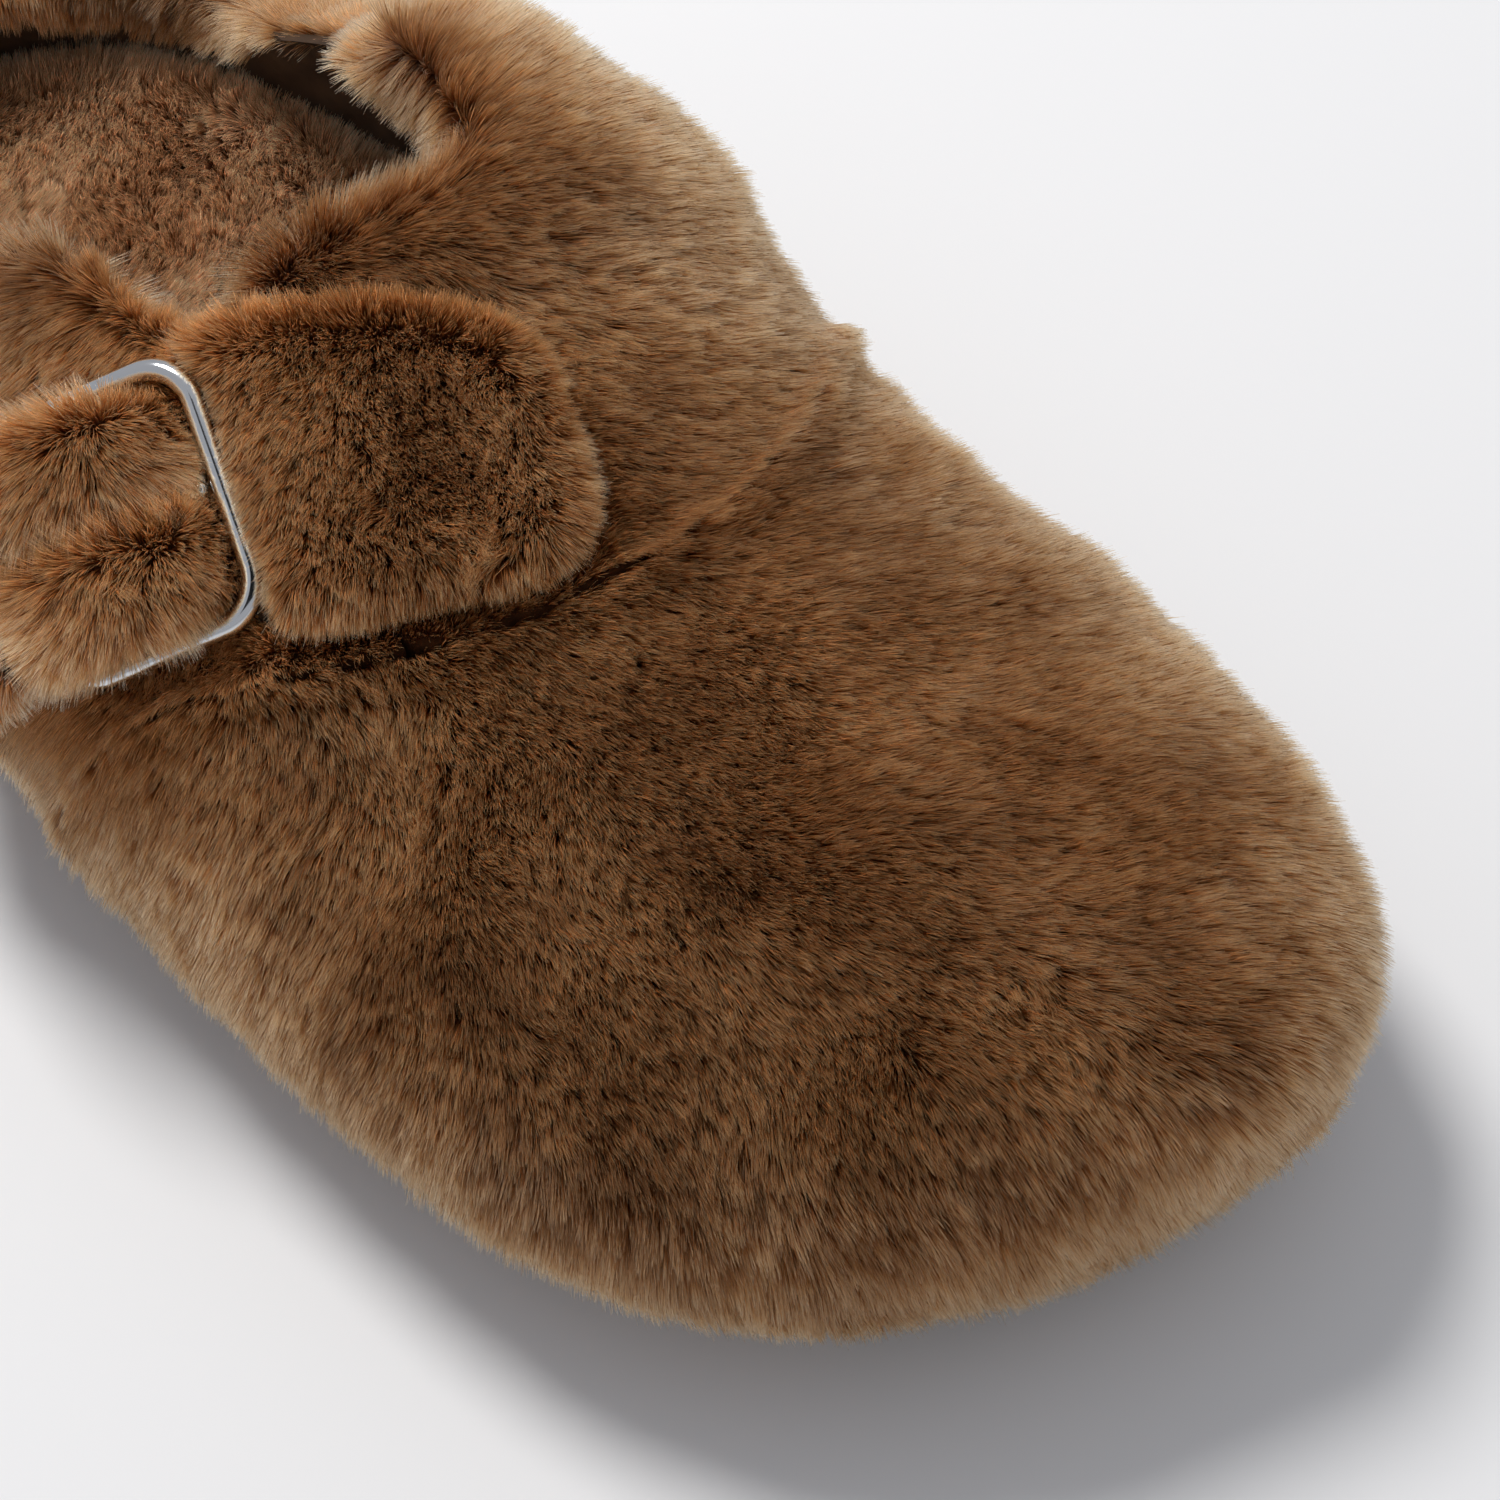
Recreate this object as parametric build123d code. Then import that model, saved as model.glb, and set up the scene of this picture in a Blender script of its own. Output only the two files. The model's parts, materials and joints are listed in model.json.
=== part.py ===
from build123d import *
import math
import os

# Backless shearling house clog for a right foot, buckled on the outer side.
# Millimetres. The toe points to -Y, the heel to +Y, +X is the inner (big toe)
# side, -X the outer (buckle) side. Z is up from the floor.

# ---------------------------------------------------------------- upper form
HALF_LENGTH = 142.0      # toe fur to heel fur is twice this
HALF_WIDTH = 66.0        # widest half breadth, over the fur
BELT_RISE = 24.0         # from the lower fur edge to the widest level of the side
SIDE_POINTS = 16         # points round one cross-section
OUTER_SQUARE = 2.0       # squareness of the outer side, which slopes more
LOWER_SQUARE = 3.0       # squareness of the tuck under both sides

# One row per cross-section of the furry outside, toe to heel:
# y, outer edge x, inner edge x, crown x, crown z, lower edge z, squareness of the inner side
STATIONS = (
    (-142.0, 13.0, 33.0, 23.0, 45.0, 27.0, 2.0),
    (-135.0, -10.0, 47.0, 20.0, 52.0, 17.0, 2.0),
    (-120.0, -37.0, 59.5, 17.0, 57.0, 12.0, 2.1),
    (-95.0, -55.0, 65.5, 15.0, 61.0, 8.5, 2.2),
    (-60.0, -63.5, 66.0, 14.0, 66.0, 6.0, 2.2),
    (-25.0, -66.0, 61.5, 13.0, 74.0, 6.0, 2.3),
    (10.0, -66.0, 62.5, 14.0, 88.0, 6.0, 2.8),
    (40.0, -64.0, 57.5, 12.0, 92.0, 6.0, 3.0),
    (70.0, -58.0, 49.0, 5.0, 86.0, 6.0, 2.8),
    (100.0, -49.0, 43.0, 0.0, 70.0, 6.0, 2.5),
    (125.0, -35.0, 31.0, -2.0, 57.0, 7.0, 2.3),
    (137.0, -21.0, 17.0, -2.0, 50.0, 10.0, 2.1),
    (142.0, -10.0, 6.0, -2.0, 42.0, 18.0, 2.0),
)

# Layers of the upper, each a depth in from the tips of the fur.
SHEARLING = 11.0         # pile and the hide that carries it
LINING = 1.2             # suede lining inside the hide
PUFF = 1.0               # toe stiffener, skived into the hide
PUFF_END_Y = -96.0       # the stiffener ends here

# Topline: y and rim height of the quarters behind the instep.
TOPLINE = ((44.0, 120.0), (45.0, 84.0), (60.0, 71.0), (78.0, 59.0), (98.0, 51.0), (150.0, 45.0))
# Plan outline of the foot opening, front edge first, then the open heel.
THROAT = ((-19.0, 19.0), (0.0, 24.0), (19.0, 21.0), (23.0, 34.0), (24.0, 60.0), (32.0, 100.0))
THROAT_LOW = 26.0        # the opening is cut down to here, inside the well
THROAT_BACK = ((-2.0, 126.0), (-37.0, 100.0), (-31.0, 60.0), (-25.0, 36.0))
HEEL_RAND_Y = 106.0      # the quarters end and the heel strip begins
# Plan line of the seam between the vamp and the quarters, inner side to outer side.
SEAM = ((90.0, 6.0), (60.0, -12.0), (31.0, -34.0), (8.0, -38.0), (-17.0, -34.0), (-42.0, -18.0),
        (-90.0, 10.0))
# Plan line where the outer quarter meets the instep panel, under the strap.
SIDE_SPLIT = ((-18.0, 30.0), (-22.0, 14.0), (-26.0, -45.0))

# ---------------------------------------------------------------- sole unit
OUTSOLE_THICK = 9.0
JUTE = 0.9               # each of the two jute layers
TOE_SPRING = 8.0         # lift of the sole at the toe
SPRING_START = -50.0     # y where the lift begins
SOLE_INSET = 13.0        # edge of the sole unit, in from the fur
WELL_INSET = 12.7        # inner face of the upper beside the footbed
WELL_TOP = 31.0
FLEECE = 6.5             # pile on the footbed
TREAD_DEPTH = 2.2
TREAD_WIDTH = 3.0
TREAD_PITCH = 11.0
TREAD_BARS = 15
TREAD_START = -45.0
TREAD_INSET = 22.0

# ---------------------------------------------------------------- cutting blocks
REACH = 95.0             # beyond half the part's width
TALL = 140.0             # beyond the part's height
BELOW = -20.0            # under the sole

# Footbed surface under the jute: y, centre z, outer rim rise, inner rim rise.
FOOTBED = (
    (-150.0, 26.0, 3.0, 3.0),
    (-112.0, 19.5, 4.0, 4.0),
    (-90.0, 19.5, 3.5, 3.5),
    (-60.0, 16.5, 4.0, 5.0),
    (-20.0, 17.5, 6.0, 9.0),
    (20.0, 19.5, 8.0, 14.0),
    (60.0, 18.5, 11.0, 13.0),
    (100.0, 17.0, 15.0, 15.0),
    (128.0, 20.0, 15.0, 15.0),
    (150.0, 33.0, 8.0, 8.0),
)
RIM_X = 40.0             # where the rims begin to rise

# ---------------------------------------------------------------- buckle and strap
HINGE = (-56.0, 15.7, 63.6)              # middle of the hinge bar
ALONG_STRAP = (0.755, -0.48, 0.446)      # from the hinge bar to the tip bar
OUT_OF_FUR = (-0.60, -0.23, 0.77)        # out of the buckle's face
WIRE = 1.6               # wire radius
FRAME_LONG = 35.5        # between the centre lines of the side bars
FRAME_SHORT = 30.0       # between the centre lines of the hinge and tip bars
FRAME_CORNER = 6.5
RUNNING = 0.05           # radial clearance of the loops on the hinge bar
CLEAR = 0.4              # gap between bodies that move
POCKET = 4.6             # how deep the frame sits into the flattened fur
POCKET_MARGIN = 1.3
CLEARANCE_TALL = 40.0    # height of the cuts made through the fur here
STRAP_WIDTH = 31.0       # inside the frame
SLOT = 3.8               # opening in the strap for the prong
SLOT_LENGTH = 33.4
SLOT_END = 26.7          # from the hinge bar to the slot's end under the prong's tip
HUMP = 8.6               # top of the strap inside the frame
STRAP_PROUD = 4.5        # strap over the instep above the fur around it
STRAP_SUNK = 0.8         # and its underside, pressed into that fur
BACKING = 1.2            # leather strip under the strap
CHAPE_WALL = 1.6
CHAPE_WIDTH = 22.0
CHAPE_GAP = 5.4          # notch in the chape for the prong's loop
NOTCH_LONG = 11.0
NOTCH_AHEAD = 1.5        # the notch's middle, ahead of the hinge bar
CHAPE_LENGTH = 18.0
TAB_LOW = -2.0           # doubled tab of the chape, pressed into the fur of the side
TAB_HIGH = 1.4
PRONG = 1.2              # prong radius
PRONG_LOOP = 1.45        # wall of the loop on the hinge bar
PRONG_LOOP_WIDTH = 4.4
TAIL_THICK = 5.0
TAIL_ROUND = 13.0        # corners of its end
TAIL_SLOT = 11.0         # notch round the prong's loop, half of it past the hinge bar
TAIL_LIFTS = ((-31.0, -0.6), (-19.0, 1.9), (-10.0, 3.7), (-0.8, 7.3))  # x, height over the side
BED_SPARE = 8.0          # room beyond the tail's end
SIDE_DROP = 3.6          # side of the shoe below the hinge bar
SIDE_SLOPE = 0.3         # its slope there
SIDE_CURVE = 38.0        # and the radius with which it falls away
RIVET = 1.5
RIVET_HEAD = 3.4
RIVET_HEAD_THICK = 1.2
RIVET_SPREAD = 12.0
RIVET_X = -12.5
RIVET_LENGTH = 17.0

# Plan outline of the strap over the instep, from the upper end of the tip bar round its sewn end.
STRAP_PLAN = ((-27.0, 19.0), (-9.5, 8.0), (3.0, -1.5), (8.5, -9.0), (7.0, -17.0), (3.0, -28.0),
              (-3.0, -33.5), (-11.0, -32.5), (-20.0, -27.5), (-38.5, -12.5))

CENTRE_X = 3.1           # brings the middle of the whole shoe to x = 0

buckle_plane = Plane(origin=HINGE, x_dir=ALONG_STRAP, z_dir=OUT_OF_FUR)


# ---------------------------------------------------------------- helpers
def power(value, square):
    """One coordinate of a superellipse."""
    return math.copysign(abs(value) ** (2.0 / square), value)


def section_points(station, inset):
    """Points round one cross-section of the upper from the crown, moved in by inset."""
    y, outer, inner, crown_x, crown_z, low_z, square = station
    belt_z = min(low_z + BELT_RISE, (low_z + crown_z) / 2.0)
    rise = crown_z - belt_z
    rise_scale = 1.0 - inset / max(rise, 2.5 * abs(inset), 30.0)
    side_scale = 1.0 - inset / HALF_WIDTH
    points = []
    for step in range(SIDE_POINTS):
        angle = math.pi * (0.5 + 2.0 * step / SIDE_POINTS)
        across, up = math.cos(angle), math.sin(angle)
        breadth = (inner - crown_x) if across > 0 else (crown_x - outer)
        side = square if across > 0 else OUTER_SQUARE
        if up > 0:
            z = belt_z + rise * rise_scale * power(up, side)
        else:
            side = LOWER_SQUARE
            z = belt_z + (belt_z - low_z) * rise_scale * power(up, side)
        x = crown_x + breadth * side_scale * power(across, side)
        points.append((x, y * (1.0 - inset / HALF_LENGTH), z))
    return points


def form(inset=0.0):
    """The closed body of the whole upper, as if it had no foot opening."""
    wires = []
    for station in STATIONS:
        ring = Spline(*section_points(station, inset), periodic=True)
        wires.append(Wire([ring.trim(0.0, 0.5), ring.trim(0.5, 1.0)]))
    return Solid.make_loft(wires)


def plan_block(points, low=BELOW, high=TALL):
    """A block that stands on a closed, smooth plan outline."""
    edge = Wire([Spline(*points, periodic=True)])
    return Pos(0, 0, low) * extrude(Face(edge), high - low, dir=(0, 0, 1))


def outline_block(inset, low=BELOW, high=TALL):
    """A block with the shoe's own plan outline, moved in by inset."""
    inner_side, outer_side = [], []
    for y, outer, inner, crown_x, *_ in STATIONS:
        scale = 1.0 - inset / HALF_WIDTH
        y_in = y * (1.0 - inset / HALF_LENGTH)
        inner_side.append((crown_x + (inner - crown_x) * scale, y_in))
        outer_side.append((crown_x - (crown_x - outer) * scale, y_in))
    return plan_block(inner_side + outer_side[::-1], low, high)


def line_block(line, towards):
    """Everything on one side of a plan line: towards is (0, +-1) or (+-1, 0) times the reach."""
    start, end = line[0], line[-1]
    far_end = (end[0] + towards[0], end[1] + towards[1])
    far_start = (start[0] + towards[0], start[1] + towards[1])
    edges = [Spline(*line), Line(end, far_end), Line(far_end, far_start), Line(far_start, start)]
    return Pos(0, 0, BELOW) * extrude(Face(Wire(edges)), TALL - BELOW, dir=(0, 0, 1))


def sole_curve(height):
    """The side profile of a sole layer's face: flat, then an arc up to the toe."""
    radius = ((HALF_LENGTH + SPRING_START) ** 2 + TOE_SPRING ** 2) / (2.0 * TOE_SPRING) - height
    centre_z = radius + height
    points = []
    for share in (0.5, 1.0):
        angle = share * math.asin((HALF_LENGTH + SPRING_START) / (radius + height))
        points.append((0, SPRING_START - radius * math.sin(angle), centre_z - radius * math.cos(angle)))
    start = (0, SPRING_START, height)
    flat = Line((0, HALF_LENGTH + 5, height), start)
    return flat, ThreePointArc(start, points[0], points[1])


def sole_band(low, high):
    """A layer between two heights over the ground, lifted at the toe."""
    low_flat, low_arc = sole_curve(low)
    high_flat, high_arc = sole_curve(high)
    back = Line(low_flat @ 0, high_flat @ 0)
    front = Line(low_arc @ 1, high_arc @ 1)
    face = Face(Wire([low_flat, low_arc, front, high_arc, high_flat, back]))
    return extrude(face, REACH, dir=(1, 0, 0), both=True)


def footbed_ground(lift):
    """Everything under the contoured footbed surface, raised by lift."""
    wires = []
    for y, centre, outer_rise, inner_rise in FOOTBED:
        top = Spline(
            (-REACH, y, centre + outer_rise + lift),
            (-RIM_X, y, centre + 0.75 * outer_rise + lift),
            (0, y, centre + lift),
            (RIM_X, y, centre + 0.75 * inner_rise + lift),
            (REACH, y, centre + inner_rise + lift),
        )
        inner_foot, outer_foot = (REACH, y, -10), (-REACH, y, -10)
        sides = [Line(top @ 1, inner_foot), Line(inner_foot, outer_foot), Line(outer_foot, top @ 0)]
        wires.append(Wire([top] + sides))
    return Solid.make_loft(wires)


def buckle_profile(points_low, points_high, width):
    """A strap-like solid from two side curves in the buckle's own plane."""
    low = Spline(*[(x, 0, z) for x, z in points_low])
    high = Spline(*[(x, 0, z) for x, z in points_high])
    face = Face(Wire([low, Line(low @ 1, high @ 1), high, Line(high @ 0, low @ 0)]))
    return extrude(face, width / 2.0, dir=(0, 1, 0), both=True)


# ---------------------------------------------------------------- upper
def shell(outer_inset, inner_inset):
    """A layer of the upper with its foot opening and the well for the footbed."""
    topline = [(0, y, z) for y, z in TOPLINE]
    corners = [(0, TOPLINE[-1][0], TALL), (0, TOPLINE[0][0], TALL)]
    above = Face(Wire.make_polygon(topline + corners, close=True))
    above_rim = extrude(above, REACH, dir=(1, 0, 0), both=True)
    layer = form(outer_inset) - form(inner_inset)
    layer -= outline_block(WELL_INSET, BELOW, WELL_TOP)
    layer -= plan_block(THROAT + THROAT_BACK, THROAT_LOW, TALL)
    return layer - above_rim


def panels(layer):
    """Cut a layer into vamp, instep with inner quarter, outer quarter and heel strip."""
    behind_seam = line_block(SEAM, (0, REACH * 2))
    heel = Pos(0, HEEL_RAND_Y + REACH / 2, TALL / 2) * Box(2 * REACH, REACH, 2 * TALL)
    split_x, split_y = SIDE_SPLIT[0]
    behind_split = Box(REACH, REACH, TALL, align=(Align.MAX, Align.MIN, Align.MIN))
    outer_side = line_block(SIDE_SPLIT, (-REACH, 0)) + Pos(split_x, split_y, BELOW) * behind_split
    vamp = layer - behind_seam
    rear = (layer & behind_seam) - heel
    return vamp, rear - outer_side, rear & outer_side, layer & heel


def cut_all(solid, cutters):
    for cutter in cutters:
        solid = solid - cutter
    return solid


# ---------------------------------------------------------------- sole unit
def outsole():
    """Moulded foam sole with a rocker at the toe and cross grooves underneath."""
    sole = sole_band(0, OUTSOLE_THICK) & outline_block(SOLE_INSET)
    bars = []
    for number in range(TREAD_BARS):
        y = TREAD_START + number * TREAD_PITCH
        bars.append(Pos(0, y, 0) * Box(2 * REACH, TREAD_WIDTH, 2 * TREAD_DEPTH))
    grooves = Part(bars) & outline_block(TREAD_INSET)
    return sole - grooves


def footbed_parts():
    """Lower jute, contoured cork, upper jute and fleece, bottom to top."""
    edge = outline_block(SOLE_INSET)
    cork_low = OUTSOLE_THICK + JUTE
    ground = footbed_ground(0)
    jute_top = footbed_ground(JUTE)
    fleece_top = footbed_ground(JUTE + FLEECE)
    lower_jute = sole_band(OUTSOLE_THICK, cork_low) & edge
    above_sole = sole_band(cork_low, TALL) & edge
    cork = above_sole & ground
    upper_jute = (above_sole & jute_top) - ground
    fleece = (above_sole & fleece_top) - jute_top
    return lower_jute, cork, upper_jute, fleece


# ---------------------------------------------------------------- buckle
def buckle_frame():
    """Round wire bent into a rectangle with rounded corners, seen flat from above."""
    centre = RectangleRounded(FRAME_SHORT, FRAME_LONG, FRAME_CORNER).wire()
    path = Pos(FRAME_SHORT / 2, 0, 0) * centre
    section = Plane(path @ 0, z_dir=path % 0) * Circle(WIRE)
    return sweep(section, path=path)


def loop_tube(inner, wall, width):
    """A short tube round the hinge bar."""
    tube = Cylinder(inner + wall, width) - Cylinder(inner, width + 1)
    return Rot(90, 0, 0) * tube


def buckle_prong():
    """Loop on the hinge bar and a round shank whose tip meets the tip bar."""
    loop = loop_tube(WIRE + RUNNING, PRONG_LOOP, PRONG_LOOP_WIDTH)
    start = Vector(WIRE + RUNNING + 0.6, 0, 0)
    tip = Vector(FRAME_SHORT - WIRE - PRONG - 0.3, 0, 0.5)
    direction = tip - start
    shank = extrude(Plane(start, z_dir=direction) * Circle(PRONG), direction.length)
    return loop + shank + Pos(tip) * Sphere(PRONG)


def side_normal(x):
    """Unit normal of the shoe's side behind the hinge bar, in the buckle's x and z."""
    slope = SIDE_SLOPE - x / SIDE_CURVE
    size = math.hypot(1.0, slope)
    return -slope / size, 1.0 / size


def side_point(x, lift):
    """A point at a height over the shoe's side, behind the hinge bar."""
    normal_x, normal_z = side_normal(x)
    z = -SIDE_DROP + SIDE_SLOPE * x - x * x / (2.0 * SIDE_CURVE)
    return x + lift * normal_x, z + lift * normal_z


def buckle_chape():
    """Leather looped round the hinge bar, notched for the prong, its doubled tab on the side."""
    bore = WIRE + RUNNING
    outside = bore + CHAPE_WALL
    loop = Rot(90, 0, 0) * Cylinder(outside, CHAPE_WIDTH)
    steps = (-CHAPE_LENGTH, -CHAPE_LENGTH / 2, 0.0)
    tab = buckle_profile([side_point(x, TAB_LOW) for x in steps],
                         [side_point(x, TAB_HIGH) for x in steps], CHAPE_WIDTH)
    chape = loop + tab - Rot(90, 0, 0) * Cylinder(bore, CHAPE_WIDTH + 1)
    return chape - Pos(NOTCH_AHEAD, 0, 0) * Box(NOTCH_LONG, CHAPE_GAP, 4 * outside)


def hump_low():
    return [(FRAME_SHORT + 6.0, -POCKET), (FRAME_SHORT - 4.0, -POCKET), (17.0, -0.6), (5.0, 3.6),
            (-0.4, 3.6)]


def strap_in_frame():
    """The strap where it rises inside the frame and passes over the hinge bar."""
    under_bar = -WIRE - CLEAR
    high = [(FRAME_SHORT + 6.0, under_bar), (FRAME_SHORT - 3.2, under_bar), (22.0, 4.5),
            (13.0, HUMP), (4.0, HUMP + 0.6), (-0.4, HUMP)]
    hump = buckle_profile(hump_low(), high, STRAP_WIDTH)
    slot = Pos(SLOT_END - SLOT_LENGTH / 2, 0, 0) * Box(SLOT_LENGTH, SLOT, CLEARANCE_TALL)
    return hump - slot


def strap_tail():
    """Free end of the strap, over the chape, rounded at its end."""
    tail = buckle_profile([side_point(x, lift) for x, lift in TAIL_LIFTS],
                          [side_point(x, lift + TAIL_THICK) for x, lift in TAIL_LIFTS], STRAP_WIDTH)
    end_x, reach = side_point(*TAIL_LIFTS[0])[0] - TAIL_THICK, CLEARANCE_TALL
    plan = Pos(end_x + reach / 2, 0, 0) * RectangleRounded(reach, STRAP_WIDTH, TAIL_ROUND)
    tail &= Pos(0, 0, -reach) * extrude(plan, 2 * reach)
    front = Pos(reach / 2 - 2 * CLEAR, 0, 0) * Box(reach, 2 * reach, 2 * reach)
    return tail - front - Box(TAIL_SLOT, SLOT, 2 * reach)


def tail_bed():
    """Hollow pressed into the side's fur under the tail."""
    low = [side_point(x, lift - CLEAR) for x, lift in TAIL_LIFTS]
    end = side_point(TAIL_LIFTS[0][0] - BED_SPARE, TAIL_LIFTS[0][1] - CLEAR)
    high = [(x, z + CLEARANCE_TALL) for x, z in [end] + low]
    return buckle_profile([end] + low, high, STRAP_WIDTH + 2 * CLEAR)


def rivets():
    """Two rivets that hold the chape's tab to the outer quarter."""
    normal_x, normal_z = side_normal(RIVET_X)
    top_x, top_z = side_point(RIVET_X, TAB_HIGH - 0.1)
    group = []
    for side in (-1, 1):
        top = Plane(origin=(top_x, side * RIVET_SPREAD / 2, top_z), z_dir=(-normal_x, 0, -normal_z))
        shank = extrude(top * Circle(RIVET), RIVET_LENGTH)
        head = top * Pos(0, 0, RIVET_LENGTH) * Cylinder(RIVET_HEAD, RIVET_HEAD_THICK)
        group.append(shank + head)
    return group


# ---------------------------------------------------------------- assembly
def build():
    """Every node by name, with the middle of the shoe's box over the origin."""
    outer = shell(0, SHEARLING)
    lining = shell(SHEARLING, SHEARLING + LINING)
    toe_cap = form(SHEARLING - PUFF) - form(SHEARLING)
    toe_cap -= outline_block(WELL_INSET, BELOW, WELL_TOP)
    toe_cap -= Pos(0, PUFF_END_Y + 2 * REACH, 0) * Box(4 * REACH, 4 * REACH, 4 * REACH)

    pocket_length = FRAME_SHORT + 2 * (WIRE + POCKET_MARGIN)
    pocket_width = FRAME_LONG + 2 * (WIRE + POCKET_MARGIN)
    pocket = buckle_plane * (Pos(FRAME_SHORT / 2, 0, -POCKET) * Box(
        pocket_length, pocket_width, CLEARANCE_TALL, align=(Align.CENTER, Align.CENTER, Align.MIN)))
    in_frame = buckle_plane * strap_in_frame()
    chape = buckle_plane * buckle_chape()
    tail = buckle_plane * strap_tail()
    bed = buckle_plane * tail_bed()
    frame = buckle_plane * buckle_frame()
    prong = buckle_plane * buckle_prong()
    pins = [buckle_plane * pin for pin in rivets()]

    strap_block = plan_block(STRAP_PLAN, 45.0)
    over_bar = Pos(FRAME_SHORT + WIRE + CLEAR - REACH, 0, REACH - WIRE - CLEAR)
    bar_side = buckle_plane * (over_bar * Box(2 * REACH, 2 * REACH, 2 * REACH))
    strap = (form(-STRAP_PROUD) - form(STRAP_SUNK)) & strap_block
    backing = (form(STRAP_SUNK) - form(STRAP_SUNK + BACKING)) & strap_block
    strap = (strap - bar_side) + in_frame
    backing = backing - bar_side - in_frame

    nodes = {}
    nodes["outsole"] = outsole()
    names = ("lower_jute", "cork_footbed", "upper_jute", "footbed_fleece")
    nodes.update(zip(names, footbed_parts()))
    names = ("vamp_shearling", "instep_shearling", "outer_quarter_shearling", "heel_strip_shearling")
    nodes.update(zip(names, panels(outer)))
    names = ("vamp_lining", "instep_lining", "outer_quarter_lining", "heel_strip_lining")
    nodes.update(zip(names, panels(lining)))
    nodes["footbed_fleece"] -= nodes["instep_lining"]
    nodes["upper_jute"] -= nodes["instep_lining"]
    nodes["toe_puff"] = toe_cap
    nodes["vamp_shearling"] -= toe_cap
    for name in ("vamp_shearling", "instep_shearling", "outer_quarter_shearling"):
        nodes[name] = cut_all(nodes[name], [bed, chape] + pins + [pocket, backing, strap])
    nodes["outer_quarter_lining"] = cut_all(nodes["outer_quarter_lining"], pins)
    nodes["instep_strap"] = strap
    nodes["strap_backing"] = backing
    nodes["strap_tail"] = tail
    nodes["buckle_chape"] = cut_all(chape, pins)
    nodes["chape_rivets"] = Compound(pins)
    nodes["buckle_frame"] = frame
    nodes["buckle_prong"] = prong
    return {name: Pos(CENTRE_X, 0, 0) * shape for name, shape in nodes.items()}


if __name__ == "__main__":
    os.makedirs("parts", exist_ok=True)
    for node_name, shape in build().items():
        export_step(shape, f"parts/{node_name}.step")
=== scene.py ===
import bpy
import json
import math
import numpy as np
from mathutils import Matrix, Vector
from mathutils.bvhtree import BVHTree


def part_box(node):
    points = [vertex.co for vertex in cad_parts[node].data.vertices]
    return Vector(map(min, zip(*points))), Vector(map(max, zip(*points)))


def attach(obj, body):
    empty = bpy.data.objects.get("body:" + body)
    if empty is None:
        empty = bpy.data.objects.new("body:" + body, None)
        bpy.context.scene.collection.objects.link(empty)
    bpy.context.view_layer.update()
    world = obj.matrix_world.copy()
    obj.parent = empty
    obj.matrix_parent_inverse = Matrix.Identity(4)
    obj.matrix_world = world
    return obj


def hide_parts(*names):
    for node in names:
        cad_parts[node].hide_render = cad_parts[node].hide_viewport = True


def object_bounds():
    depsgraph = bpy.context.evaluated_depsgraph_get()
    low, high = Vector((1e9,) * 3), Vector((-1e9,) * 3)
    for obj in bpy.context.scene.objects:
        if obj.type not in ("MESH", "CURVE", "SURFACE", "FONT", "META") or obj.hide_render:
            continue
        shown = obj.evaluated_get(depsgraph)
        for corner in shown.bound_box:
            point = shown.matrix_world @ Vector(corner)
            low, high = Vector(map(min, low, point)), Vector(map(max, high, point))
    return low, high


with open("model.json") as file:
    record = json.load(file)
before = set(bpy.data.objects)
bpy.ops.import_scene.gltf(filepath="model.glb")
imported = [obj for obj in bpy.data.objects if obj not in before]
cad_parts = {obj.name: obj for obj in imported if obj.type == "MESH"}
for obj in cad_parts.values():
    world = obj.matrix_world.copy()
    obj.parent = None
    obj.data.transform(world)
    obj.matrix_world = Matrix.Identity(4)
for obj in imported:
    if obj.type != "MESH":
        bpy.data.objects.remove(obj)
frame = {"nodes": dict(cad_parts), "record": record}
cad_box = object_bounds()

# A backless shearling clog with a buckled strap. Each fur panel of the CAD becomes a dark hide, drawn in
# from the solid, and the fur that grows from it: closed locks, which are meshes, and finer hair between
# them, which only renders show. Lengths are in metres. The toes point along -Y and Z is up.

MM = 0.001
SEED = 7

# Camera
LOOK_AT = Vector((0.0206, -0.045, 0.020))
AZIMUTH, ELEVATION = math.radians(-40), math.radians(55)
CAMERA_DISTANCE = 0.56
LENS, SENSOR = 95, 36
CLIP_START = 0.01

# Studio
KEY = {"place": (-0.02, 0.52, 1.05), "size": 0.42, "watts": 10.8, "colour": (1.0, 0.985, 0.96)}
SKY_COLOUR, SKY_STRENGTH = (0.93, 0.95, 1.0), 0.47
FLOOR_HALF = 3.0
CARD_HALF_WIDTH, CARD_HALF_HEIGHT = 0.3, 0.25
CARD_BEHIND_CAMERA = 0.15

# Fur
DENSITY = 16.0e6             # strands on a square metre of hide
BLADES_IN_A_PIECE = 18000    # strands of one mesh piece, drawn as locks
LOCK_RADIUS, HAIR_RADIUS = 0.085 * MM, 0.062 * MM
LOCK_GAIN = 1.35             # locks have a plain shader, and need a lighter colour than hair to match it
STEPS = 5                    # points along a strand
LOCK_STOPS = (0, 2, 4)       # those of them that a lock keeps
LOCK_VERTS = 7               # a ring of three, another ring of three, and the tip
TUFT, PATCH = 1.7 * MM, 8.5 * MM    # widths of a tuft, and of a patch of tufts that lies its own way
TUFT_SEED, PATCH_SEED = 11, 13
ROOT_DEPTH = 0.3 * MM        # how far a strand starts under the hide
ABOVE_FLOOR = 0.4 * MM

# Smooth waves over the shoe: how strong, how far across, and the seed
LUMP_WAVE = (0.8 * MM, 14 * MM, 3)
PATCH_WAVE = (2 * MM, 5 * MM, 21)
COMB_WAVES = ((0.55, 22 * MM, 31), (0.45, 7 * MM, 41))
LENGTH_WAVE = (0.12, 9 * MM, 51)
LEAN_WAVE = (0.35, 11 * MM, 61)
TONE_WAVES = ((0.26, 15 * MM, 71), (0.16, 38 * MM, 81))
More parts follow.
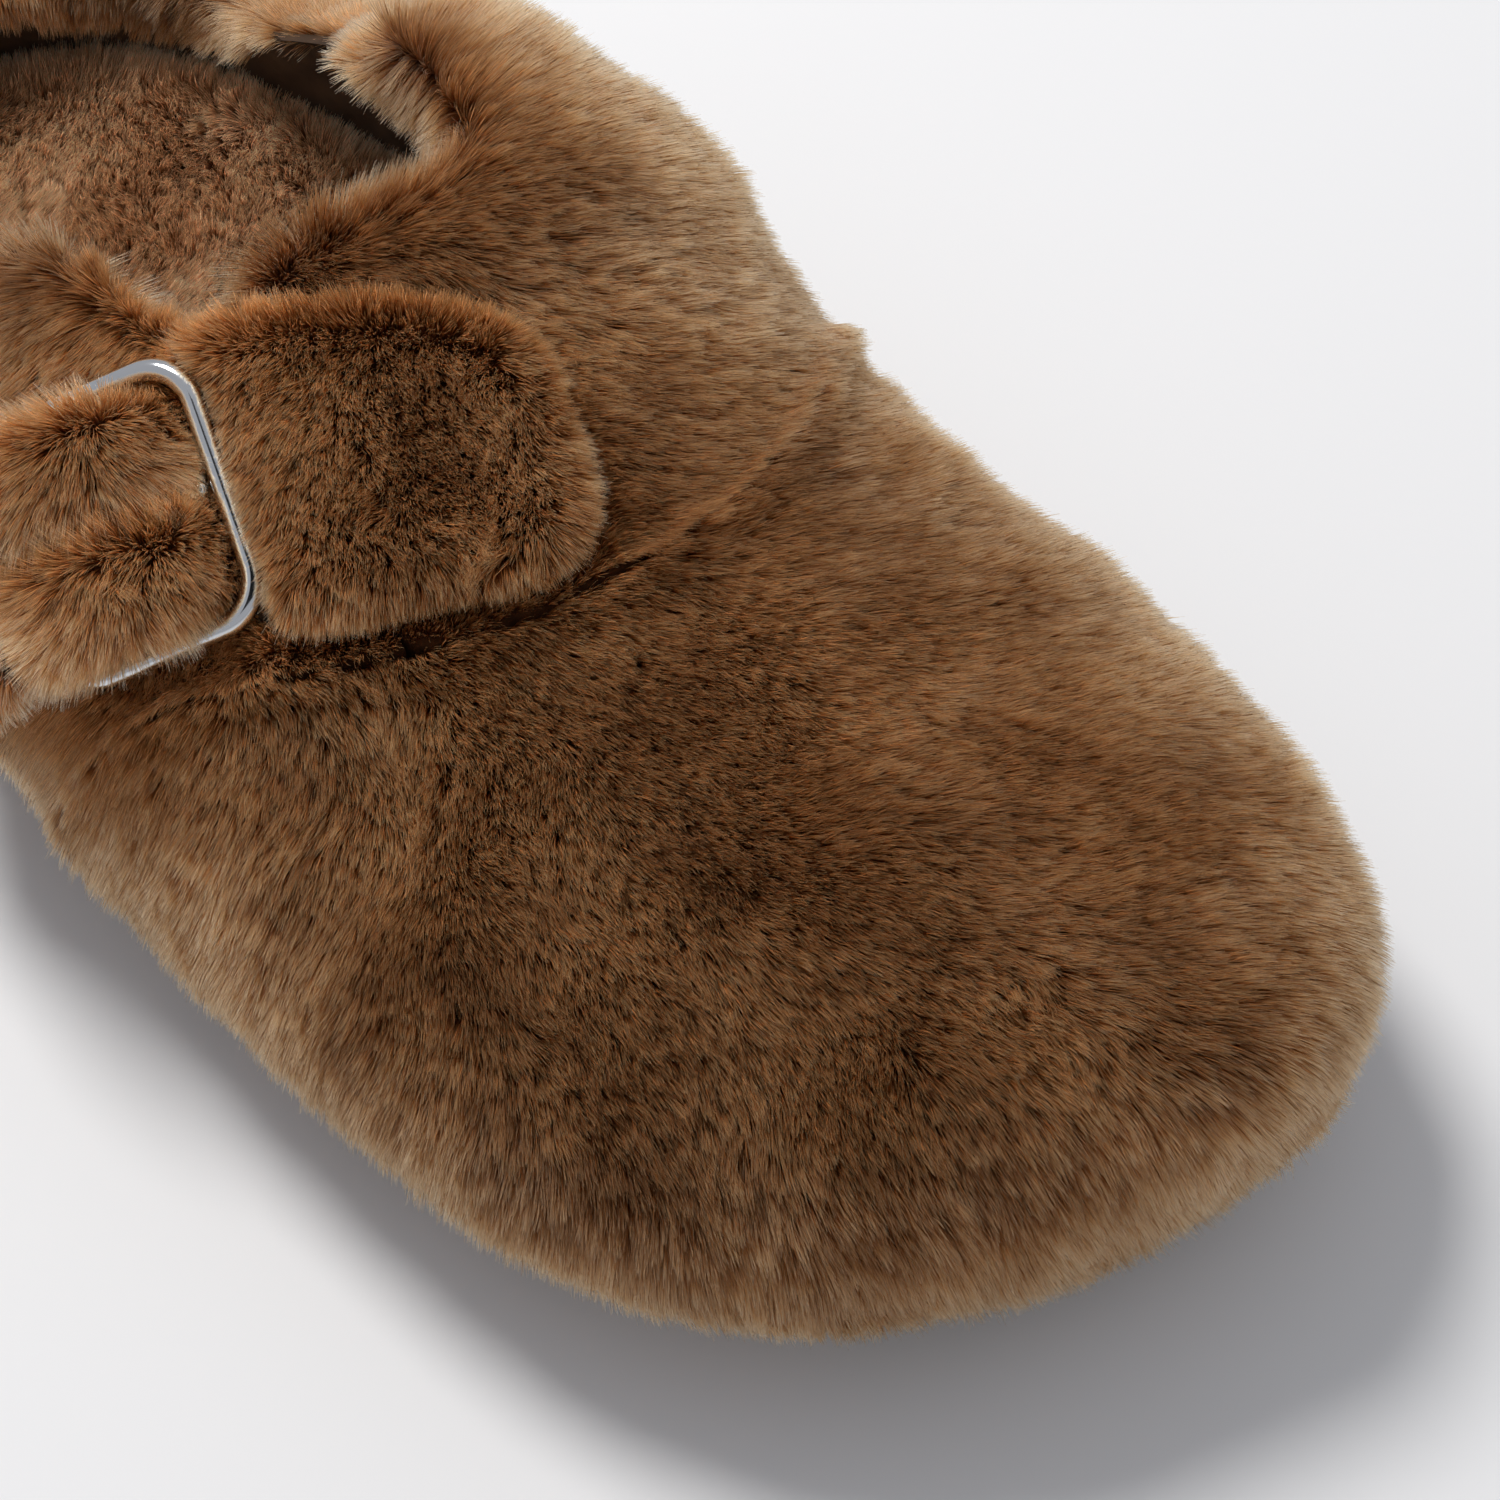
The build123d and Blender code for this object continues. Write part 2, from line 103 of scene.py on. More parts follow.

# What thins or shortens the fur at a place on the hide, and where painted light makes it lighter along the
# rims:
# the columns of its fields, from 0 to 1 for free, and the distances from each neighbour where its field is
# 0 and 1
OPEN, BESIDE, WIRE, RIM, PRONG = range(5)
FUR_RANGE = (0, 3 * MM)
WIRE_RANGE = (0.5 * MM, 3.5 * MM)
RIM_RANGE = (0, 7 * MM)
PRONG_RANGE = (1 * MM, 5 * MM)
SHUT_GAP, SHUT_FACING = 1.7 * MM, -0.3    # a face this near a neighbour, and opposed to it, grows no fur
GROW_FROM = 0.25                          # least open field where fur grows
GROW_DEPTH = 2.5 * MM                     # and the deepest place under the outer surface
GUIDE_ROUNDS = 12                         # smoothing of the direction in which fur stands

# Directions in which the fur is combed
FAN_START = 0.035                                 # the instep, in y
ALONG_STRAP = np.array([-0.755, 0.48, -0.446])    # towards its free end
ACROSS_STRAP = np.array([-0.27, -0.85, -0.46])    # towards the toes

# Heights and distances where the fur's lie changes, or where painted light and shade change its tone
LOW_RANGE = (7 * MM, 20 * MM)             # fur by the floor turns down over the sole
BUCKLE_GLOW_RANGE = (14 * MM, 44 * MM)          # painted light: a glow makes the fur by the buckle lighter
FLANK_SHADE_RANGE = (30 * MM, 50 * MM)          # and away from it, painted shade darkens the steep flanks

BODY_OF = {n: b for b, ns in frame["record"]["behaviour"]["bodies"].items() for n in ns}
LININGS = [n for n in frame["nodes"] if n.endswith("lining")]
PANELS = ["vamp_shearling", "instep_shearling", "outer_quarter_shearling", "heel_strip_shearling"]
SHEARLINGS = PANELS + ["instep_strap", "strap_tail"]
UNDER = LININGS + ["cork_footbed", "upper_jute", "toe_puff", "strap_backing", "buckle_chape"]
STRAP = ["instep_strap", "strap_tail", "strap_backing", "buckle_chape"]
WHOLE = PANELS + LININGS + ["toe_puff", "cork_footbed", "upper_jute", "lower_jute", "footbed_fleece"]


# ---------------------------------------------------------------- numbers on meshes

def smoothstep(low, high, value):
    t = np.clip((value - low) / (high - low), 0, 1)
    return t * t * (3 - 2 * t)


def unit(vectors):
    return vectors / np.maximum(np.linalg.norm(vectors, axis=1, keepdims=True), 1e-12)


def noise(points, scale, seed):
    """Smooth noise from -1 to 1 whose lumps are about scale across."""
    size = 32
    lattice = np.random.default_rng(SEED + seed).uniform(-1, 1, (size, size, size))
    cell = points / scale + seed * 3.7
    base = np.floor(cell).astype(int)
    part = cell - base
    part = part * part * (3 - 2 * part)
    total = np.zeros(len(points))
    for corner in np.ndindex(2, 2, 2):
        weight = np.prod(np.where(corner, part, 1 - part), axis=1)
        total += weight * lattice[tuple(((base + corner) % size).T)]
    return total


def wave(points, strength, scale, seed):
    return strength * noise(points, scale, seed)


def wave_vectors(points, strength, scale, seed):
    return strength * np.stack([noise(points, scale, seed + k) for k in range(3)], axis=1)


def tufts(points, cell, seed):
    """The middle of each point's nearest tuft, and four random numbers of that tuft from -1 to 1."""
    size = 40
    rng = np.random.default_rng(SEED + seed)
    jitter = rng.uniform(0, 1, (size, size, size, 3))
    numbers = rng.uniform(-1, 1, (size, size, size, 4))
    base = np.floor(points / cell).astype(int)
    best = np.full(len(points), 1e9)
    middles, own = np.zeros((len(points), 3)), np.zeros((len(points), 4))
    for step in np.ndindex(3, 3, 3):
        place = base + step - 1
        index = tuple((place % size).T)
        middle = (place + jitter[index]) * cell
        gap = np.linalg.norm(middle - points, axis=1)
        closer = gap < best
        best[closer] = gap[closer]
        middles[closer] = middle[closer]
        own[closer] = numbers[index][closer]
    return middles, own


def mesh_arrays(mesh):
    """Vertices, their normals, triangles and edges of a mesh."""
    verts = np.empty(len(mesh.vertices) * 3)
    mesh.vertices.foreach_get("co", verts)
    normals = np.empty(len(mesh.vertices) * 3)
    mesh.vertex_normals.foreach_get("vector", normals)
    mesh.calc_loop_triangles()
    tris = np.empty(len(mesh.loop_triangles) * 3, int)
    mesh.loop_triangles.foreach_get("vertices", tris)
    edges = np.empty(len(mesh.edges) * 2, int)
    mesh.edges.foreach_get("vertices", edges)
    return verts.reshape(-1, 3), normals.reshape(-1, 3), tris.reshape(-1, 3), edges.reshape(-1, 2)


def tree_of(nodes):
    """One search tree over the surfaces of several CAD nodes."""
    verts, faces, start = [], [], 0
    for name in nodes:
        co, _, tris, _ = mesh_arrays(frame["nodes"][name].data)
        verts += co.tolist()
        faces += (tris + start).tolist()
        start += len(co)
    return BVHTree.FromPolygons(verts, faces)


def nearest(points, tree, reach=30 * MM):
    """Each point's distance to the surface in the tree, up to reach, and that surface's normal and face."""
    distance, normal = np.full(len(points), reach), np.zeros((len(points), 3))
    face = np.zeros(len(points), int)
    for k, point in enumerate(points.tolist()):
        place, out, index, gap = tree.find_nearest(point, reach)
        if place is not None:
            distance[k], normal[k], face[k] = gap, out, index
    return distance, normal, face


def smoothed(values, edges, rounds):
    """Values at vertices, averaged with their neighbours along the edges."""
    count = np.bincount(edges.ravel(), minlength=len(values))
    for _ in range(rounds):
        total = np.zeros_like(values)
        for a, b in ((0, 1), (1, 0)):
            for k in range(values.shape[1]):
                total[:, k] += np.bincount(edges[:, a], values[edges[:, b], k], len(values))
        values = 0.5 * values + 0.5 * total / np.maximum(count, 1)[:, None]
    return values


# ---------------------------------------------------------------- materials

def new_material(name, roughness=0.6, specular=0.3):
    mat = bpy.data.materials.new(name)
    mat.use_nodes = True
    shader = mat.node_tree.nodes["Principled BSDF"]
    shader.inputs["Roughness"].default_value = roughness
    shader.inputs["Specular IOR Level"].default_value = specular
    return mat, mat.node_tree, shader


def noise_node(tree, scale, detail=4, stretch=None):
    place = tree.nodes.new("ShaderNodeTexCoord")
    node = tree.nodes.new("ShaderNodeTexNoise")
    node.inputs["Scale"].default_value = scale
    node.inputs["Detail"].default_value = detail
    source = place.outputs["Object"]
    if stretch:
        mapping = tree.nodes.new("ShaderNodeMapping")
        mapping.inputs["Scale"].default_value = stretch
        tree.links.new(source, mapping.inputs["Vector"])
        source = mapping.outputs["Vector"]
    tree.links.new(source, node.inputs["Vector"])
    return node.outputs["Fac"]


def ramp_node(tree, value, stops):
    node = tree.nodes.new("ShaderNodeValToRGB")
    line = node.color_ramp
    while len(line.elements) < len(stops):
        line.elements.new(0.5)
    for element, (place, colour) in zip(line.elements, stops):
        element.position = place
        element.color = (*colour, 1)
    tree.links.new(value, node.inputs["Fac"])
    return node.outputs["Color"]


def bump(tree, shader, height, strength, distance):
    node = tree.nodes.new("ShaderNodeBump")
    node.inputs["Strength"].default_value = strength
    node.inputs["Distance"].default_value = distance
    tree.links.new(height, node.inputs["Height"])
    tree.links.new(node.outputs["Normal"], shader.inputs["Normal"])


def mottled(name, stops, scale, roughness, specular, bump_scale, strength, distance, stretch=None):
    """A material whose colour runs through stops by noise, with a finer noise as bump."""
    mat, tree, shader = new_material(name, roughness, specular)
    colour = ramp_node(tree, noise_node(tree, scale, 6, stretch), stops)
    tree.links.new(colour, shader.inputs["Base Color"])
    bump(tree, shader, noise_node(tree, bump_scale, 3, stretch), strength, distance)
    return mat


def attribute(tree, name):
    node = tree.nodes.new("ShaderNodeAttribute")
    node.attribute_name = name
    return node.outputs["Fac"]


def fur_colour(tree, gain, grey=0.0):
    """Dark roots to golden tips, lighter or darker from strand to strand and by the painted light and shade
    in the tone. grey takes colour out.
    """
    def lit(*rgb):
        mean = sum(rgb) / 3
        return tuple(min(1.0, (c + (mean - c) * grey) * gain) for c in rgb)
    along = ramp_node(tree, attribute(tree, "along"), [
        (0.0, lit(0.040, 0.013, 0.005)),
        (0.35, lit(0.18, 0.062, 0.018)),
        (0.75, lit(0.37, 0.155, 0.052)),
        (1.0, lit(0.55, 0.29, 0.125)),
    ])
    shade = ramp_node(tree, attribute(tree, "tone"), [
        (0.0, (0.34, 0.30, 0.27)),
        (0.5, (0.80, 0.76, 0.72)),
        (1.0, (1.55, 1.62, 1.75)),
    ])
    mix = tree.nodes.new("ShaderNodeMix")
    mix.data_type = "RGBA"
    mix.blend_type = "MULTIPLY"
    mix.inputs["Factor"].default_value = 1
    tree.links.new(along, mix.inputs["A"])
    tree.links.new(shade, mix.inputs["B"])
    return mix.outputs["Result"]


def fur_material(name, gain=1.0, grey=0.0):
    """For the locks, which are meshes."""
    mat, tree, shader = new_material(name, 0.55, 0.2)
    tree.links.new(fur_colour(tree, LOCK_GAIN * gain, grey), shader.inputs["Base Color"])
    return mat


def pile_material(name, gain=1.0, grey=0.0):
    """For the fine pile, which is hair."""
    mat = bpy.data.materials.new(name)
    mat.use_nodes = True
    tree = mat.node_tree
    tree.nodes.remove(tree.nodes["Principled BSDF"])
    hair = tree.nodes.new("ShaderNodeBsdfHairPrincipled")
    hair.parametrization = "COLOR"
    hair.inputs["Roughness"].default_value = 0.45
    hair.inputs["Radial Roughness"].default_value = 0.6
    hair.inputs["Coat"].default_value = 0.0
    tree.links.new(fur_colour(tree, gain, grey), hair.inputs["Color"])
    tree.links.new(hair.outputs["BSDF"], tree.nodes["Material Output"].inputs["Surface"])
    return mat


# Painted light: the fleece's colour gain of 1.75 lightens the footbed fleece, which lies in the shade of
# the upper, so its materials are lighter copies of the shearling's; grey takes some colour out.
FLEECE_GREY_AND_PAINTED_LIGHT = {"gain": 1.75, "grey": 0.22}
SHEARLING = fur_material("shearling_fur"), pile_material("shearling_pile")
FLEECE = fur_material("fleece_fur", **FLEECE_GREY_AND_PAINTED_LIGHT), pile_material("fleece_pile", **FLEECE_GREY_AND_PAINTED_LIGHT)
HIDE = mottled("shearling_hide", [(0.3, (0.035, 0.014, 0.006)), (0.7, (0.085, 0.036, 0.015))],
               scale=260, roughness=0.9, specular=0.1, bump_scale=900, strength=0.6, distance=0.0006)
SUEDE = mottled("suede", [(0.3, (0.030, 0.016, 0.009)), (0.7, (0.062, 0.034, 0.019))],
                scale=180, roughness=0.85, specular=0.2, bump_scale=2600, strength=0.35, distance=0.0002)
CORK = mottled("cork", [(0.35, (0.16, 0.085, 0.04)), (0.5, (0.42, 0.26, 0.14)), (0.7, (0.56, 0.38, 0.22))],
               scale=420, roughness=0.8, specular=0.25, bump_scale=900, strength=0.4, distance=0.0004)
JUTE = mottled("jute", [(0.3, (0.30, 0.21, 0.12)), (0.7, (0.55, 0.42, 0.27))], scale=700, roughness=0.9,
               specular=0.15, bump_scale=1400, strength=0.6, distance=0.0003, stretch=(1, 1, 3))
FOAM = mottled("sole_foam", [(0.3, (0.045, 0.028, 0.018)), (0.7, (0.062, 0.040, 0.026))],
               scale=90, roughness=0.7, specular=0.3, bump_scale=1600, strength=0.25, distance=0.0002)
STIFF = mottled("stiffener", [(0.3, (0.20, 0.14, 0.09)), (0.7, (0.30, 0.22, 0.15))],
                scale=200, roughness=0.8, specular=0.2, bump_scale=900, strength=0.3, distance=0.0002)
FLOOR_PAPER = mottled("floor_paper", [(0.0, (0.80, 0.80, 0.81)), (1.0, (0.83, 0.83, 0.84))],
                      scale=3, roughness=0.85, specular=0.2, bump_scale=900, strength=0.02, distance=0.0001)
CARD_BLACK = mottled("card_black", [(0.0, (0.01, 0.01, 0.01)), (1.0, (0.02, 0.02, 0.02))],
                     scale=3, roughness=0.9, specular=0.1, bump_scale=900, strength=0.02, distance=0.0001)


def metal(name, colour, roughness):
    """Polished plated wire with faint rubbing marks in its gloss."""
    mat, tree, shader = new_material(name, roughness, 0.5)
    shader.inputs["Base Color"].default_value = (*colour, 1)
    shader.inputs["Metallic"].default_value = 1
    marks = tree.nodes.new("ShaderNodeMapRange")
    marks.inputs["To Min"].default_value = roughness * 0.6
    marks.inputs["To Max"].default_value = roughness * 1.7
    tree.links.new(noise_node(tree, 600, 5, (1, 6, 1)), marks.inputs["Value"])
    tree.links.new(marks.outputs["Result"], shader.inputs["Roughness"])
    bump(tree, shader, noise_node(tree, 900, 3), 0.05, 0.0001)
    return mat


CHROME = metal("buckle_metal", (0.66, 0.67, 0.69), 0.10)
RIVET = metal("rivet_metal", (0.55, 0.53, 0.50), 0.28)


# ---------------------------------------------------------------- fur

def add_object(name, data, body):
    piece = bpy.data.objects.new(name, data)
    bpy.context.scene.collection.objects.link(piece)
    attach(piece, body)
    return piece


def remeshed(nodes, voxel):
    """A new even mesh over one or more CAD nodes taken together."""
    verts, faces, start = [], [], 0
    for name in nodes:
        co, _, tris, _ = mesh_arrays(frame["nodes"][name].data)
        verts.append(co)
        faces.append(tris + start)
        start += len(co)
    joined = bpy.data.meshes.new("remesh_source")
    joined.from_pydata(np.concatenate(verts).tolist(), [], np.concatenate(faces).tolist())
    source = bpy.data.objects.new("remesh_source", joined)
    bpy.context.scene.collection.objects.link(source)
    remesh = source.modifiers.new("even", "REMESH")
    remesh.mode = "VOXEL"
    remesh.voxel_size = voxel
    ready = source.evaluated_get(bpy.context.evaluated_depsgraph_get())
    mesh = bpy.data.meshes.new_from_object(ready)
    bpy.data.objects.remove(source)
    return mesh


GUIDES = {}


def guide_of(nodes, voxel):
    """The outer surface that the pile stands on: a search tree, and a smoothed normal for each face."""
    key = (tuple(nodes), voxel)
    if key not in GUIDES:
        mesh = remeshed(nodes, voxel)
        verts, normals, tris, edges = mesh_arrays(mesh)
        normals = unit(smoothed(normals, edges, GUIDE_ROUNDS))
        tree = BVHTree.FromPolygons(verts.tolist(), tris.tolist())
        GUIDES[key] = tree, unit(normals[tris].mean(axis=1))
    return GUIDES[key]


def distance_to(points, nodes):
    return nearest(points, tree_of(nodes))[0]


def hide_of(node, pile):
    """The skin under the fur: the CAD solid drawn in where fur grows. Returns what the fur needs."""
    mesh = remeshed([node], pile["voxel"])
    verts, normals, tris, edges = mesh_arrays(mesh)
    tree, guide_normals = guide_of(pile["guide"], pile["guide_voxel"])
    under, _, face = nearest(verts, tree)
    out = guide_normals[face]
    others = [n for n in frame["nodes"] if n not in (node, "buckle_frame", "buckle_prong")]
    gap, other_normal, _ = nearest(verts, tree_of(others))
    shut = (gap < SHUT_GAP) & ((normals * other_normal).sum(axis=1) < SHUT_FACING)
    fields = np.empty((len(verts), 5))
    fields[:, OPEN] = 1.0 - shut
    fields[:, BESIDE] = smoothstep(*FUR_RANGE, distance_to(verts, [n for n in SHEARLINGS if n != node]))
    fields[:, WIRE] = smoothstep(*WIRE_RANGE, distance_to(verts, ["buckle_frame"]))
    fields[:, RIM] = smoothstep(*RIM_RANGE, distance_to(verts, [n for n in UNDER if n != node]))
    fields[:, PRONG] = smoothstep(*PRONG_RANGE, distance_to(verts, ["buckle_prong"]))
    fields = smoothed(fields, edges, 2)
    depth = np.maximum(0, pile["inset"] - under) * fields[:, OPEN]
    depth = depth * (0.3 + 0.7 * fields[:, RIM]) * fields[:, PRONG]
    lumps = wave(verts, *LUMP_WAVE) * fields[:, OPEN]
    skin = smoothed(verts - out * (depth - lumps)[:, None], edges, 2)
    mesh.vertices.foreach_set("co", skin.ravel())
    mesh.polygons.foreach_set("use_smooth", np.ones(len(mesh.polygons), bool))
    mesh.update()
    mesh.materials.clear()
    mesh.materials.append(HIDE)
    piece = add_object(node.replace("_shearling", "") + "_hide", mesh, BODY_OF[node])
    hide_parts(node)
    grow = (fields[:, OPEN] > GROW_FROM) & (under < GROW_DEPTH)
    return skin, out, tris, fields, grow


def scatter(skin, tris, grow, density, rng):
    """Even random places on the skin: the triangle of each, and its corner weights."""
    a, b, c = (skin[tris[:, k]] for k in range(3))
    area = 0.5 * np.linalg.norm(np.cross(b - a, c - a), axis=1)
    weight = area * grow[tris].any(axis=1)
    count = int(weight.sum() * density)
    pick = np.searchsorted(np.cumsum(weight) / weight.sum(), rng.uniform(0, 1, count))
    u, v = rng.uniform(0, 1, (2, count))
    over = u + v > 1
    u[over], v[over] = 1 - u[over], 1 - v[over]
    return np.minimum(pick, len(tris) - 1), np.stack([1 - u - v, u, v], axis=1)


def strands(skin, normals, tris, fields, grow, pile, rng):
    """Strand points from root to tip, and each strand's tone."""
    pick, corners = scatter(skin, tris, grow, DENSITY * pile["density"], rng)

    def at_roots(values):
        return (values[tris[pick]] * corners[:, :, None]).sum(axis=1)

    root, normal, local = at_roots(skin), unit(at_roots(normals)), at_roots(fields)
    middles, own = tufts(root, TUFT, TUFT_SEED)
    _, patch_own = tufts(root + wave_vectors(root, *PATCH_WAVE), PATCH, PATCH_SEED)

    # Which way the strands lie
    comb = pile["comb"](root, normal)
    for settings in COMB_WAVES:
        comb = comb + wave_vectors(root, *settings)
    comb = comb + 0.25 * own[:, :3] + 0.22 * patch_own[:, :3]
    low = 1 - smoothstep(*LOW_RANGE, root[:, 2])
    comb[:, 2] -= 2.0 * low
    comb = unit(comb - normal * (comb * normal).sum(axis=1, keepdims=True))

    # How long they are, and how far they lean
    reach = pile["length"] * (1 + 0.10 * own[:, 3] + wave(root, *LENGTH_WAVE))
    reach *= (0.85 + 0.15 * local[:, BESIDE]) * (0.5 + 0.5 * local[:, WIRE]) * (0.6 + 0.4 * local[:, RIM])
    reach *= rng.uniform(0.78, 1.12, len(root)) * (1 + 0.35 * low)
    stray = unit(rng.normal(0, 1, root.shape)) * rng.uniform(0, 0.22, (len(root), 1))
    lean = pile["lean"] * (1 + wave(root, *LEAN_WAVE)) * (0.4 + 0.6 * local[:, RIM])
    pull = middles - root
    pull = pull - normal * (pull * normal).sum(axis=1, keepdims=True)

    # The path: upright at the root, then over along the comb, with the tips of a tuft drawn together
    path = np.empty((len(root), STEPS, 3))
    path[:, 0] = root - normal * ROOT_DEPTH
    step = (reach / (STEPS - 1))[:, None]
    for k in range(1, STEPS):
        t = k / (STEPS - 1)
        heading = unit(normal + comb * (lean * (0.45 + 0.9 * t))[:, None] + stray)
        gather = pull * pile["clump"] * (2 * t - 0.5) / (STEPS - 1)
        path[:, k] = path[:, k - 1] + heading * step + gather
    path[:, :, 2] = np.maximum(path[:, :, 2], ABOVE_FLOOR)

    # How light they are: random tone, with painted light by the buckle, along the rims and on the strap and
    # fleece, and painted shade on the flanks
    tone = 0.45 + 0.13 * own[:, 0] + 0.12 * patch_own[:, 3]
    for settings in TONE_WAVES:
        tone = tone + wave(root, *settings)
    tone = tone + rng.normal(0, 0.19, len(root)) + pile["tone"]
    # Painted light: fur is made lighter near the buckle, a glow that fades with distance from it.
    to_buckle = np.linalg.norm(root - BUCKLE_MIDDLE, axis=1)
    # Painted highlight: fur along the rims, near the linings and the other parts under it, is made lighter
    # too.
    tone = tone + 0.50 * (1 - smoothstep(*BUCKLE_GLOW_RANGE, to_buckle)) + 0.20 * (1 - local[:, RIM])
    # Painted shade: steep fur on the flanks, away from the buckle and the rims, is made darker.
    painted_flank_shade = 0.20 * (1 - np.abs(normal[:, 2])) * local[:, RIM] * smoothstep(*FLANK_SHADE_RANGE, to_buckle)
    return path, np.clip(tone - painted_flank_shade, 0, 1)


def pile_curves(name, path, tone, body, thickness, finish):
    """The fine strands, as one hair object. They taper to a quarter at the tip."""
    count = len(path)
    data = bpy.data.hair_curves.new(name)
    data.add_curves([STEPS] * count)
    data.points.foreach_set("position", path.ravel())
    along = np.tile(np.linspace(0, 1, STEPS), count)
    width = thickness * (1 - 0.75 * along ** 2)
    for label, values in (("radius", width), ("along", along), ("tone", np.repeat(tone, STEPS))):
        layer = data.attributes.get(label) or data.attributes.new(label, "FLOAT", "POINT")
        layer.data.foreach_set("value", values)
    data.materials.append(finish)
    return add_object(name, data, body)


def blade_mesh(name, path, tone, thickness, finish):
    """Closed three-sided tapering locks along the strands."""
    count = len(path)
    spine = path[:, LOCK_STOPS]
    heading = unit(spine[:, 2] - spine[:, 0])
    side = unit(np.cross(heading, np.array([0.3, 0.2, 0.93])))
    other = np.cross(heading, side)
    rings = []
    for k, size in ((0, 1.0), (1, 0.85)):
        for turn in range(3):
            angle = 2 * math.pi * turn / 3
            outward = math.cos(angle) * side + math.sin(angle) * other
            rings.append(spine[:, k] + thickness * size * outward)
    verts = np.stack(rings + [spine[:, 2]], axis=1)
    face = [(2, 1, 0)]
    for a, b in ((0, 1), (1, 2), (2, 0)):
        face += [(a, b, b + 3), (a, b + 3, a + 3), (a + 3, b + 3, 6)]
    face = np.array(face)
    faces = (face[None] + LOCK_VERTS * np.arange(count)[:, None, None]).reshape(-1, 3)
    mesh = bpy.data.meshes.new(name)
    mesh.vertices.add(count * LOCK_VERTS)
    mesh.vertices.foreach_set("co", verts.ravel())
    mesh.loops.add(faces.size)
    mesh.loops.foreach_set("vertex_index", faces.ravel())
    mesh.polygons.add(len(faces))
    mesh.polygons.foreach_set("loop_start", np.arange(0, faces.size, 3))
    mesh.polygons.foreach_set("use_smooth", np.ones(len(faces), bool))
    mesh.update(calc_edges=True)
    along = np.tile([0, 0, 0, 0.5, 0.5, 0.5, 1.0], count)
    for label, values in (("along", along), ("tone", np.repeat(tone, LOCK_VERTS))):
        mesh.attributes.new(label, "FLOAT", "POINT").data.foreach_set("value", values)
    # Each lock has its own cell of the bake layer, with its root at the bottom and its tip at the top
    across = math.ceil(math.sqrt(count))
    cell = np.stack([np.arange(count) % across, np.arange(count) // across], axis=1)
    spot = np.stack([np.tile([0.2, 0.5, 0.8, 0.2, 0.5, 0.8, 0.5], (count, 1)),
                     0.15 + 0.7 * along.reshape(count, LOCK_VERTS)], axis=2)
    flat = ((cell[:, None] + spot) / across).reshape(-1, 2)
    mesh.uv_layers.new(name="OFBake").data.foreach_set("uv", flat[faces.ravel()].ravel())
    mesh.materials.append(finish)
    return mesh


def grow_fur(node, pile):
    """Hide, mesh locks and fine pile of one shearling panel."""
    rng = np.random.default_rng(SEED + len(node) + sum(map(ord, node)))
    path, tone = strands(*hide_of(node, pile), pile, rng)
    label, body = node.replace("_shearling", ""), BODY_OF[node]
    fur, hair = pile["finish"]
    pieces = pile["pieces"]
    blades = min(len(path) // 2, BLADES_IN_A_PIECE * pieces)
    for k in range(pieces):
        part = slice(k * blades // pieces, (k + 1) * blades // pieces)
        mesh = blade_mesh(f"{label}_fur_{k + 1}", path[part], tone[part], LOCK_RADIUS, fur)
        locks = add_object(mesh.name, mesh, body)
    pile_curves(f"{label}_pile", path[blades:], tone[blades:], body, HAIR_RADIUS, hair)


def fan(points, normals):
    """Combed from the instep out over the toes and down the sides."""
    low, high = cad_box
    middle = np.array([(low.x + high.x) / 2, FAN_START, 0])
    out = (points - middle) * np.array([1, 1, 0])
    steep = 1 - np.abs(normals[:, 2:3])
    return unit(out) + np.array([0, -0.6, 0]) + np.array([0, 0, -1.2]) * steep


def down(points, normals):
    return np.array([0.0, -0.35, -1.0]) + 0 * points


def forward(points, normals):
    return np.array([0.0, -1.0, -0.15]) + 0 * points


def strap_flow(points, normals):
    """Combed across the strap towards the toes, and partly along it."""
    return ALONG_STRAP * 0.4 + ACROSS_STRAP + 0 * points


low_corner, high_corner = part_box("buckle_frame")
BUCKLE_MIDDLE = np.array((low_corner + high_corner) / 2)
UPPER = {"voxel": 1.6 * MM, "inset": 5.0 * MM, "length": 8.0 * MM, "lean": 0.62, "clump": 0.30,
         "density": 1.0, "pieces": 2, "tone": 0.0, "slot": "shearling", "finish": SHEARLING, "comb": fan,
         "guide": WHOLE, "guide_voxel": 2.2 * MM}
PILES = {
    "vamp_shearling": {**UPPER, "pieces": 4},
    "instep_shearling": UPPER,
    "outer_quarter_shearling": UPPER,
    "heel_strip_shearling": {**UPPER, "comb": down},
    # Painted light: the strap's tone is raised by 0.22 to lighten the hump of fur in the buckle.
    "instep_strap": {**UPPER, "voxel": 1.3 * MM, "inset": 2.5 * MM, "length": 7.5 * MM, "lean": 0.5,
                     "density": 1.3, "pieces": 1, "tone": 0.22, "comb": strap_flow,
                     "guide": WHOLE + STRAP, "guide_voxel": 1.6 * MM},
    "strap_tail": {**UPPER, "voxel": 1.2 * MM, "inset": 2.5 * MM, "length": 6.0 * MM, "pieces": 1,
                   "tone": 0.04, "comb": down, "guide": ["strap_tail"], "guide_voxel": 1.8 * MM},
    # Painted light: the fleece's tone is raised by 0.3 to lighten it in the shade of the upper.
    "footbed_fleece": {**UPPER, "inset": 1.5 * MM, "length": 7.0 * MM, "lean": 0.55, "tone": 0.3,
                       "slot": "fleece", "finish": FLEECE, "comb": forward, "guide": ["footbed_fleece"]},
}


# ---------------------------------------------------------------- the scene

def dress_cad():
    """The CAD nodes whose shape stays get their materials."""
    finish = {"outsole": FOAM, "lower_jute": JUTE, "upper_jute": JUTE, "cork_footbed": CORK,
              "toe_puff": STIFF, "strap_backing": SUEDE, "buckle_chape": SUEDE, "chape_rivets": RIVET,
              "buckle_frame": CHROME, "buckle_prong": CHROME, **{n: SUEDE for n in LININGS}}
    for name, mat in finish.items():
        data = frame["nodes"][name].data
        data.materials.clear()
        data.materials.append(mat)


